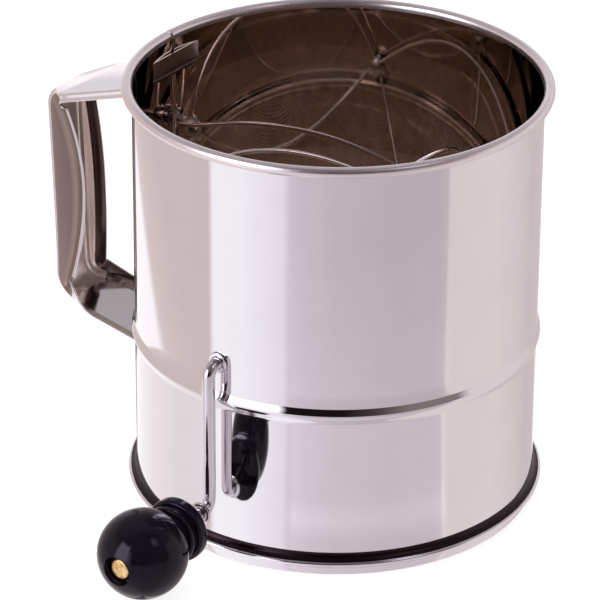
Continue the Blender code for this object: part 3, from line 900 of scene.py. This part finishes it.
def make_knob(material):
    """Ball with a neck of two rings, bored through and counterbored at its outer end."""
    start = 180 - math.degrees(math.asin(KNOB_NECK / KNOB_BALL))
    end = math.degrees(math.asin(RECESS_RADIUS / KNOB_BALL))
    neck = [(BORE_RADIUS, KNOB_FACE), (KNOB_RING_1, KNOB_FACE), (KNOB_RING_1, KNOB_RING_1_END),
            (KNOB_GROOVE, KNOB_RING_1_END), (KNOB_GROOVE, KNOB_RING_2_START),
            (KNOB_RING_2, KNOB_RING_2_START), (KNOB_RING_2, KNOB_RING_2_END), (KNOB_NECK, KNOB_RING_2_END),
            (0, KNOB_RING_2_END)]
    rounds = (0.0004, 0.0016, 0.0013, 0.0003, 0.0003, 0.0011, 0.0011, 0, 0)
    outline = rounded_profile(neck, rounds, 6)[:-1]
    outline += [(r, y) for y, r in arc((KNOB_CENTRE, 0), KNOB_BALL, start, end, BALL_STEPS)[1:]]
    outline += [(RECESS_WALL, outline[-1][1] - RECESS_EASE), (RECESS_WALL, RECESS_FLOOR),
                (BORE_RADIUS, RECESS_FLOOR)]
    shape = revolve([(r, -y) for r, y in outline], even_angles(KNOB_STEPS), about_y)
    add_piece("knob_ball", shape, [material], "knob_body", ["knob"], SPINDLE_PLACE)


# Studio

# Soft windows above the horizon: turns, rises, softness of the edge and light
WINDOWS = (
    ((-71, -38), (4, 40), 3, (4.2, 4.0, 4.6, 1)),
    ((40, 60), (44, 57), 10, (2.4, 2.2, 2.6, 1)))


def at(degrees):
    """Place on a ramp of an azimuth, which is 0 towards the camera."""
    return (degrees + 180) / 360


def tones_round(graph, turn, tones):
    """Colours by azimuth, from (degrees, colour) pairs."""
    return graph.ramp(turn, [(at(degrees), colour) for degrees, colour in tones])


def patch(graph, turn, rise, turns, rises, soft):
    """1 inside a soft-edged window of the surroundings, given by turn and rise in degrees."""
    left = graph.spread(turn, at(turns[0] - soft), at(turns[0] + soft), 0.0, 1.0, smooth=True)
    right = graph.spread(turn, at(turns[1] - soft), at(turns[1] + soft), 1.0, 0.0, smooth=True)
    low = graph.spread(rise, rises[0] - soft, rises[0] + soft, 0.0, 1.0, smooth=True)
    high = graph.spread(rise, rises[1] - soft, rises[1] + soft, 1.0, 0.0, smooth=True)
    return graph.math("MULTIPLY", graph.math("MULTIPLY", left, right), graph.math("MULTIPLY", low, high))


def left_table(graph, turn, rise):
    """Cloths on the camera's left, which change along a slanted edge."""
    slanted = graph.math("ADD", turn, graph.spread(rise, -31.0, -24.0, -0.1425, 0.0759))
    edge = ((-180, (0.34, 0.29, 0.31)), (-170, (0.34, 0.29, 0.31)), (-165, (1.13, 1.08, 1.10)))
    high = tones_round(graph, slanted, edge + (
        (-134, (1.13, 1.08, 1.10)), (-129, (0.77, 0.68, 0.66)), (-120, (0.73, 0.63, 0.61)),
        (-100, (0.68, 0.58, 0.57))))
    low = tones_round(graph, turn, edge + (
        (-154, (1.07, 1.03, 1.04)), (-128, (0.97, 0.89, 0.90)), (-105, (0.88, 0.82, 0.82)),
        (-88, (0.87, 0.82, 0.84))))
    limit = graph.spread(turn, at(-172), at(-88), -28.05, -28.80)
    above = graph.spread(graph.math("SUBTRACT", rise, limit), -0.04, 0.04, 0.0, 1.0, smooth=True)
    return graph.mix(above, low, high)


def right_table(graph, turn, rise):
    """Cloths in front and on the camera's right, with a glow in the middle."""
    edge = graph.ramp(graph.spread(rise, -28.6, -27.2, 0.0, 1.0), (
        (0.0, (1.15, 1.12, 1.10)), (1.0, (0.72, 0.64, 0.65))))
    front = tones_round(graph, turn, (
        (-77.5, (0.65, 0.56, 0.55)), (-73.5, (1.05, 1.02, 1.06)), (-55, (1.03, 1.00, 1.05)),
        (-37, (0.93, 0.88, 0.95)), (-30, (0.89, 0.83, 0.90)), (-26.5, (0.72, 0.645, 0.71)),
        (-20, (0.665, 0.59, 0.65)), (0, (0.59, 0.525, 0.57)), (30, (0.555, 0.49, 0.53)),
        (57, (0.565, 0.495, 0.53)), (63, (0.60, 0.525, 0.55)), (65, (0.78, 0.695, 0.69)),
        (100, (0.79, 0.725, 0.72)), (125, (0.72, 0.65, 0.65)), (140, (0.645, 0.57, 0.58)),
        (162, (0.64, 0.56, 0.57))))
    cloths = graph.mix(graph.spread(turn, at(163), at(168), 0.0, 1.0), front, edge)
    glow = graph.ramp(graph.spread(rise, -31.0, -25.0, 0.0, 1.0), (
        (0.15, (1.18, 1.18, 1.18)), (0.28, (1.34, 1.34, 1.34)), (0.40, (1.12, 1.12, 1.12)),
        (0.58, (1.07, 1.07, 1.07)), (0.86, (1.0, 1.0, 1.0))))
    middle = patch(graph, turn, rise, (-26, 66), (-60, 0), 3)
    return graph.tint(cloths, graph.mix(middle, (1, 1, 1, 1), glow))


def table_surroundings(graph, turn, rise):
    """What lies below the horizon: pale cloths and cards of several tones."""
    left = left_table(graph, turn, rise)
    right = right_table(graph, turn, rise)
    return graph.mix(graph.spread(turn, at(-79), at(-74.5), 0.0, 1.0), left, right)


def room_surroundings(graph, turn, rise):
    """What lies above the horizon: a dark room in front, pale walls behind and two soft windows."""
    room = tones_round(graph, turn, (
        (-180, (0.80, 0.78, 0.84)), (-160, (0.80, 0.76, 0.80)), (-145, (0.68, 0.59, 0.58)),
        (-77, (0.66, 0.57, 0.56)), (-70, (1.6, 1.55, 1.65)), (-32, (1.6, 1.55, 1.65)),
        (-27, (0.010, 0.007, 0.008)), (4, (0.010, 0.007, 0.008)), (22, (0.07, 0.05, 0.05)),
        (40, (0.22, 0.18, 0.18)), (68, (0.25, 0.20, 0.20)), (76, (0.80, 0.72, 0.74)),
        (150, (0.76, 0.70, 0.74)), (180, (0.80, 0.78, 0.84))))
    ceiling = tones_round(graph, turn, (
        (-180, (0.44, 0.41, 0.43)), (-120, (0.44, 0.40, 0.42)), (-60, (0.26, 0.23, 0.25)),
        (-20, (0.13, 0.11, 0.12)), (60, (0.13, 0.11, 0.12)), (120, (0.44, 0.40, 0.42)),
        (180, (0.44, 0.41, 0.43))))
    upper = graph.mix(graph.spread(rise, 24.0, 34.0, 0.0, 1.0, smooth=True), room, ceiling)
    for turns, rises, soft, light in WINDOWS:
        upper = graph.mix(patch(graph, turn, rise, turns, rises, soft), upper, light)
    return upper


def build_world(towards_camera):
    """Surroundings for the mirror finish, by azimuth from the camera's side and by elevation."""
    world = bpy.data.worlds.new("studio")
    bpy.context.scene.world = world
    graph = Graph(world)
    background = graph.nodes["Background"]
    direction = graph.node("ShaderNodeTexCoord").outputs["Generated"]
    right = Vector((-towards_camera.y, towards_camera.x, 0))
    turn = graph.math("ARCTAN2", graph.dot(direction, right), graph.dot(direction, towards_camera))
    turn = graph.spread(turn, -math.pi, math.pi, 0.0, 1.0)
    rise = graph.math("ARCSINE", graph.dot(direction, (0, 0, 1)))
    rise = graph.math("MULTIPLY", rise, math.degrees(1))
    table = table_surroundings(graph, turn, rise)
    room = room_surroundings(graph, turn, rise)
    both = graph.mix(graph.spread(rise, -3.4, 1.7, 0.0, 1.0, smooth=True), table, room)
    graph.join(both, background.inputs["Color"])
    background.inputs["Strength"].default_value = 1.0


def floor_material():
    """Plain pale table, a little cloudy, that gives back enough light to look seamless."""
    material, graph, shader, coordinates = new_material("pale_table")
    clouds = graph.noise(coordinates, 3.0, 2.0)
    tone = graph.ramp(clouds, ((0.3, (0.40, 0.40, 0.40)), (0.7, (0.43, 0.43, 0.43))))
    graph.join(tone, shader.inputs["Base Color"])
    shader.inputs["Roughness"].default_value = 0.7
    shader.inputs["Emission Color"].default_value = (1, 1, 1, 1)
    shader.inputs["Emission Strength"].default_value = 0.78
    return material


def stage_disc(name, radius, height, material):
    """Flat disc about the can's axis, at a given height, with one material."""
    shape = bmesh.new()
    bmesh.ops.create_circle(shape, cap_ends=True, segments=96, radius=radius)
    mesh = bpy.data.meshes.new(name)
    shape.to_mesh(mesh)
    shape.free()
    mesh.materials.append(material)
    disc = bpy.data.objects.new(name, mesh)
    disc.location = (AXIS.x, AXIS.y, height)
    bpy.context.collection.objects.link(disc)
    return disc


def make_stage():
    """The table, which the mirror finish sees as the world's lower half, and the shade inside the can."""
    table = stage_disc("table", 30.0, -0.0002, floor_material())
    table.visible_glossy = False
    material, graph, shader, coordinates = new_material("shade_in_can")
    tone = graph.ramp(graph.noise(coordinates, 60.0), ((0.3, (0.20, 0.15, 0.12)), (0.7, (0.28, 0.22, 0.18))))
    graph.join(tone, shader.inputs["Base Color"])
    graph.join(tone, shader.inputs["Emission Color"])
    shader.inputs["Emission Strength"].default_value = 0.3
    shade_disc = stage_disc("shade_in_can", BODY_INSIDE - 0.003, 0.0002, material)
    shade_disc.visible_camera = False
    shade_disc.visible_shadow = False


def add_area_light(name, place, target, size, power):
    """Large soft light that the mirror finish doesn't see."""
    data = bpy.data.lights.new(name, "AREA")
    data.shape = "DISK"
    data.size = size
    data.energy = power
    light = bpy.data.objects.new(name, data)
    light.location = place
    light.rotation_euler = (target - place).to_track_quat("-Z", "Y").to_euler()
    light.visible_glossy = False
    light.visible_camera = False
    bpy.context.collection.objects.link(light)


def make_camera():
    """Long lens from the front right, with a slight roll."""
    data = bpy.data.cameras.new("photo_camera")
    data.lens = CAMERA_LENS
    data.sensor_width = 36.0
    data.clip_end = 100.0
    camera = bpy.data.objects.new("photo_camera", data)
    camera.location = CAMERA_PLACE
    look = (CAMERA_TARGET - CAMERA_PLACE).to_track_quat("-Z", "Y")
    camera.rotation_euler = look.to_euler()
    camera.rotation_euler.rotate_axis("Z", CAMERA_ROLL)
    bpy.context.collection.objects.link(camera)
    bpy.context.scene.camera = camera


def make_studio():
    """Surroundings, table, light and camera."""
    towards_camera = CAMERA_PLACE - CAMERA_TARGET
    towards_camera.z = 0
    build_world(towards_camera.normalized())
    make_stage()
    centre = Vector((AXIS.x, AXIS.y, 0.08))
    add_area_light("overhead", centre + Vector((0.1, -0.2, 1.6)), centre, 1.8, 26.0)
    make_camera()
    bpy.context.scene.view_settings.view_transform = "Standard"


def main():
    """Materials, pieces from the can outwards, and the studio."""
    polished = steel("mirror_steel", (0.86, 0.835, 0.86), 0.030, 0.055, LINES_ROUND_CAN, 0.05)
    # A darker, browner copy of the polished steel, as painted shade inside the can
    inner = steel("mirror_steel_inside_painted_shade", (0.66, 0.56, 0.50), 0.025, 0.055, LINES_ROUND_CAN, 0.05)
    rim = steel("rolled_rim_steel", (0.86, 0.80, 0.80), 0.26, 0.34, LINES_ROUND_CAN, 0.05)
    # Near black steel in the concave groove above the flange, as painted shade
    groove = steel("groove_painted_shade", (0.036, 0.023, 0.028), 0.22, 0.32, LINES_ROUND_CAN, 0.05)
    # Darker brown copy of the strap's steel, as a painted reflection on the grip's sides
    flank_painted_reflection = steel("strap_side_painted_reflection", (0.28, 0.215, 0.19), 0.14, 0.24, LINES_ON_STRAP_SIDE, 0.10)
    strap = steel("strap_steel", (0.84, 0.80, 0.815), 0.09, 0.15, LINES_ACROSS_STRAP, 0.08)
    # Pale beige copy of the strap's steel, as a painted reflection inside the grip's channel
    channel = steel("channel_painted_reflection", (0.93, 0.85, 0.79), 0.30, 0.38, LINES_ON_STRAP_SIDE, 0.10)
    # Near black copy of the strap's steel, as painted shade inside the lips
    lip = steel("lip_inside_painted_shade", (0.13, 0.085, 0.078), 0.20, 0.30, LINES_ON_STRAP_SIDE, 0.10)
    drawn = steel("drawn_wire", (0.78, 0.76, 0.79), 0.10, 0.17, LINES_ALONG_WIRE, 0.10)
    hoop = steel("hoop_wire", (0.86, 0.83, 0.85), 0.15, 0.22, LINES_ALONG_WIRE, 0.10)
    woven = mesh_material()
    brass = brass_material()
    plastic = plastic_material()

    make_can([polished, inner, rim, groove])
    make_base_ring(polished)
    make_screen(woven)
    # The holding rings take the inside steel's painted shade
    make_screen_rings(inner)
    make_eyelet("crank_bush", "crank_eyelet", -1, polished)
    make_eyelet("pivot_bush", "pivot_eyelet", 1, polished)
    make_handle([strap, flank_painted_reflection, channel, lip])

    make_crank(drawn)
    make_ferrule("crank_sleeve", "crank_ferrule", -1, drawn)
    make_ferrule("pivot_sleeve", "pivot_ferrule", 1, drawn)
    make_binding("crank_binding", -1, drawn)
    make_binding("pivot_binding", 1, drawn)
    make_hoops(hoop)
    make_pivot_pin(drawn)
    make_spindle_parts(drawn, brass)
    make_knob(plastic)

    make_studio()


main()
